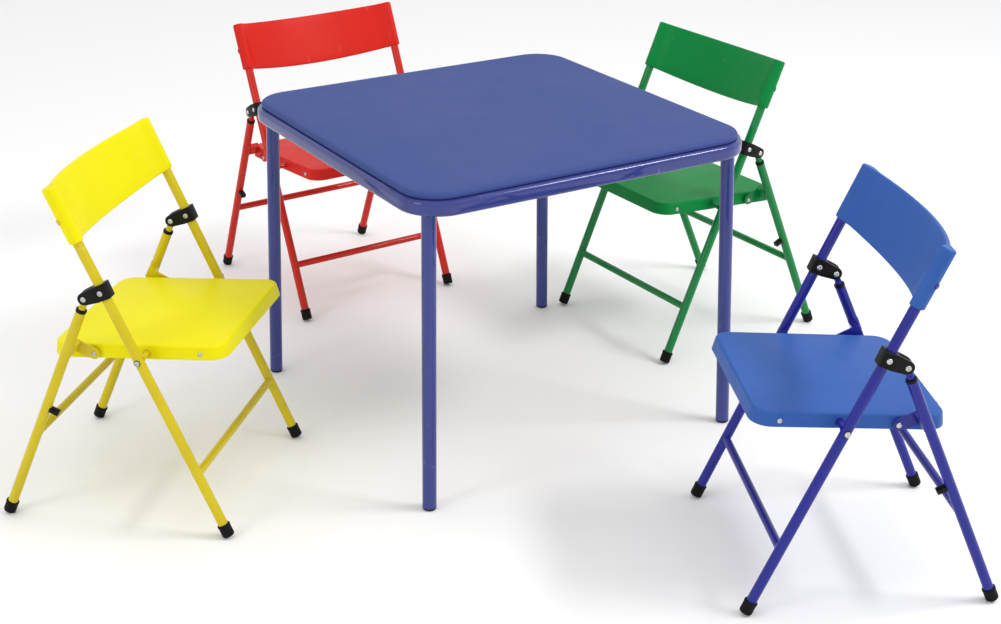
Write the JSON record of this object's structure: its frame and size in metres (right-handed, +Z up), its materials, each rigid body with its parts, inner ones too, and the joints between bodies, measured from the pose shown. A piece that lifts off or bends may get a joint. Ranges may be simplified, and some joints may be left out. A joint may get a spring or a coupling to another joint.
{
  "type": "kids table and chairs",
  "caption": "Square folding table for children with folding chairs: tube frames, moulded seats and backs, legs that fold under the top.",
  "frame": {"origin": "on the floor, under the middle of the whole set seen from above", "axes": "+Z up; the table sides lie along X and Y; +Y is the set's longest side in plan"},
  "size_m": [1.5462, 1.7516, 0.5364],
  "materials": {
    "table_top": "satin",
    "table_enamel": "gloss",
    "yellow_plastic": "satin",
    "yellow_enamel": "gloss",
    "red_plastic": "satin",
    "red_enamel": "gloss",
    "green_plastic": "satin",
    "green_enamel": "gloss",
    "blue_plastic": "satin",
    "blue_enamel": "gloss",
    "black_plastic": "satin",
    "foot_rubber": "matte",
    "steel": "polished"
  },
  "bodies": {
    "table": {"table_top": "table_top", "table_rim": "table_enamel"},
    "leg_back_right": {"table_leg_back_right": "table_enamel"},
    "leg_back_left": {"table_leg_back_left": "table_enamel"},
    "leg_front_left": {"table_leg_front_left": "table_enamel"},
    "leg_front_right": {"table_leg_front_right": "table_enamel"},
    "yellow_rear": {"yellow_rear_frame": "yellow_enamel", "yellow_rear_foot_left": "foot_rubber", "yellow_rear_foot_right": "foot_rubber"},
    "yellow_rods": {"yellow_slide_rod_left": "yellow_enamel", "yellow_slide_rod_right": "yellow_enamel"},
    "yellow_front": {"yellow_front_frame": "yellow_enamel", "yellow_backrest": "yellow_plastic", "yellow_bracket_left": "black_plastic", "yellow_bracket_right": "black_plastic", "yellow_front_foot_left": "foot_rubber", "yellow_front_foot_right": "foot_rubber"},
    "yellow_seat": {"yellow_seat": "yellow_plastic", "yellow_seat_rod": "steel"},
    "red_rear": {"red_rear_frame": "red_enamel", "red_rear_foot_left": "foot_rubber", "red_rear_foot_right": "foot_rubber"},
    "red_rods": {"red_slide_rod_left": "red_enamel", "red_slide_rod_right": "red_enamel"},
    "red_front": {"red_front_frame": "red_enamel", "red_backrest": "red_plastic", "red_bracket_left": "black_plastic", "red_bracket_right": "black_plastic", "red_front_foot_left": "foot_rubber", "red_front_foot_right": "foot_rubber"},
    "red_seat": {"red_seat": "red_plastic", "red_seat_rod": "steel"},
    "green_rear": {"green_rear_frame": "green_enamel", "green_rear_foot_left": "foot_rubber", "green_rear_foot_right": "foot_rubber"},
    "green_rods": {"green_slide_rod_left": "green_enamel", "green_slide_rod_right": "green_enamel"},
    "green_front": {"green_front_frame": "green_enamel", "green_backrest": "green_plastic", "green_bracket_left": "black_plastic", "green_bracket_right": "black_plastic", "green_front_foot_left": "foot_rubber", "green_front_foot_right": "foot_rubber"},
    "green_seat": {"green_seat": "green_plastic", "green_seat_rod": "steel"},
    "blue_rear": {"blue_rear_frame": "blue_enamel", "blue_rear_foot_left": "foot_rubber", "blue_rear_foot_right": "foot_rubber"},
    "blue_rods": {"blue_slide_rod_left": "blue_enamel", "blue_slide_rod_right": "blue_enamel"},
    "blue_front": {"blue_front_frame": "blue_enamel", "blue_backrest": "blue_plastic", "blue_bracket_left": "black_plastic", "blue_bracket_right": "black_plastic", "blue_front_foot_left": "foot_rubber", "blue_front_foot_right": "foot_rubber"},
    "blue_seat": {"blue_seat": "blue_plastic", "blue_seat_rod": "steel"}
  },
  "joints": [
    {"name": "table_leg_back_right_fold", "type": "hinge", "parent": "table", "child": "leg_back_right", "pos_m": [0.34545, 0.31153, 0.48376], "axis": [0, 0.9996, 0.0279], "range_deg": [0, 91.6]},
    {"name": "table_leg_back_left_fold", "type": "hinge", "parent": "table", "child": "leg_back_left", "pos_m": [-0.19549, 0.31153, 0.48376], "axis": [-0.9996, 0, 0.0279], "range_deg": [0, 91.6]},
    {"name": "table_leg_front_left_fold", "type": "hinge", "parent": "table", "child": "leg_front_left", "pos_m": [-0.19549, -0.2294, 0.48376], "axis": [0, -0.9996, 0.0279], "range_deg": [0, 91.6]},
    {"name": "table_leg_front_right_fold", "type": "hinge", "parent": "table", "child": "leg_front_right", "pos_m": [0.34545, -0.2294, 0.48376], "axis": [0.9996, 0, 0.0279], "range_deg": [0, 91.6]},
    {"name": "yellow_pull_out", "type": "slide", "parent": "table", "child": "yellow_rear", "axis": [-0.7314, 0.682, 0], "range_m": [0, 0.15]},
    {"name": "yellow_rods_slide", "type": "slide", "parent": "yellow_rear", "child": "yellow_rods", "axis": [0.2967, -0.2767, 0.914], "range_m": [0, 0.0995]},
    {"name": "yellow_frame_fold", "type": "hinge", "parent": "yellow_rods", "child": "yellow_front", "pos_m": [-0.53328, 0.08392, 0.37062], "axis": [0.682, 0.7314, 0], "range_deg": [0, 45.92]},
    {"name": "yellow_seat_fold", "type": "hinge", "parent": "yellow_front", "child": "yellow_seat", "pos_m": [-0.48099, 0.03516, 0.27652], "axis": [-0.682, -0.7314, 0], "range_deg": [0, 109.27]},
    {"name": "red_pull_out", "type": "slide", "parent": "table", "child": "red_rear", "axis": [-0.0523, 0.9986, 0], "range_m": [0, 0.15]},
    {"name": "red_rods_slide", "type": "slide", "parent": "red_rear", "child": "red_rods", "axis": [0.0212, -0.4051, 0.914], "range_m": [0, 0.0995]},
    {"name": "red_frame_fold", "type": "hinge", "parent": "red_rods", "child": "red_front", "pos_m": [0.08401, 0.69321, 0.37062], "axis": [0.9986, 0.0523, 0], "range_deg": [0, 45.92]},
    {"name": "red_seat_fold", "type": "hinge", "parent": "red_front", "child": "red_seat", "pos_m": [0.08775, 0.62182, 0.27652], "axis": [-0.9986, -0.0523, 0], "range_deg": [0, 109.27]},
    {"name": "green_pull_out", "type": "slide", "parent": "table", "child": "green_rear", "axis": [0.9996, 0.0279, 0], "range_m": [0, 0.15]},
    {"name": "green_rods_slide", "type": "slide", "parent": "green_rear", "child": "green_rods", "axis": [-0.4055, -0.0113, 0.914], "range_m": [0, 0.0995]},
    {"name": "green_frame_fold", "type": "hinge", "parent": "green_rods", "child": "green_front", "pos_m": [0.59431, 0.15638, 0.37062], "axis": [0.0279, -0.9996, 0], "range_deg": [0, 45.92]},
    {"name": "green_seat_fold", "type": "hinge", "parent": "green_front", "child": "green_seat", "pos_m": [0.52285, 0.15438, 0.27652], "axis": [-0.0279, 0.9996, 0], "range_deg": [0, 109.27]},
    {"name": "blue_pull_out", "type": "slide", "parent": "table", "child": "blue_rear", "axis": [0.9033, -0.4289, 0], "range_m": [0, 0.15]},
    {"name": "blue_rods_slide", "type": "slide", "parent": "blue_rear", "child": "blue_rods", "axis": [-0.3664, 0.174, 0.914], "range_m": [0, 0.0995]},
    {"name": "blue_frame_fold", "type": "hinge", "parent": "blue_rods", "child": "blue_front", "pos_m": [0.26498, -0.65061, 0.37062], "axis": [-0.4289, -0.9033, 0], "range_deg": [0, 45.92]},
    {"name": "blue_seat_fold", "type": "hinge", "parent": "blue_front", "child": "blue_seat", "pos_m": [0.2004, -0.61994, 0.27652], "axis": [0.4289, 0.9033, 0], "range_deg": [0, 109.27]}
  ],
  "couplings": [
    {"joint": "yellow_seat_fold", "follows": "yellow_frame_fold", "ratio": 2.3796},
    {"joint": "yellow_rods_slide", "follows": "yellow_frame_fold", "m_per_rad": 0.12415},
    {"joint": "red_seat_fold", "follows": "red_frame_fold", "ratio": 2.3796},
    {"joint": "red_rods_slide", "follows": "red_frame_fold", "m_per_rad": 0.12415},
    {"joint": "green_seat_fold", "follows": "green_frame_fold", "ratio": 2.3796},
    {"joint": "green_rods_slide", "follows": "green_frame_fold", "m_per_rad": 0.12415},
    {"joint": "blue_seat_fold", "follows": "blue_frame_fold", "ratio": 2.3796},
    {"joint": "blue_rods_slide", "follows": "blue_frame_fold", "m_per_rad": 0.12415}
  ]
}
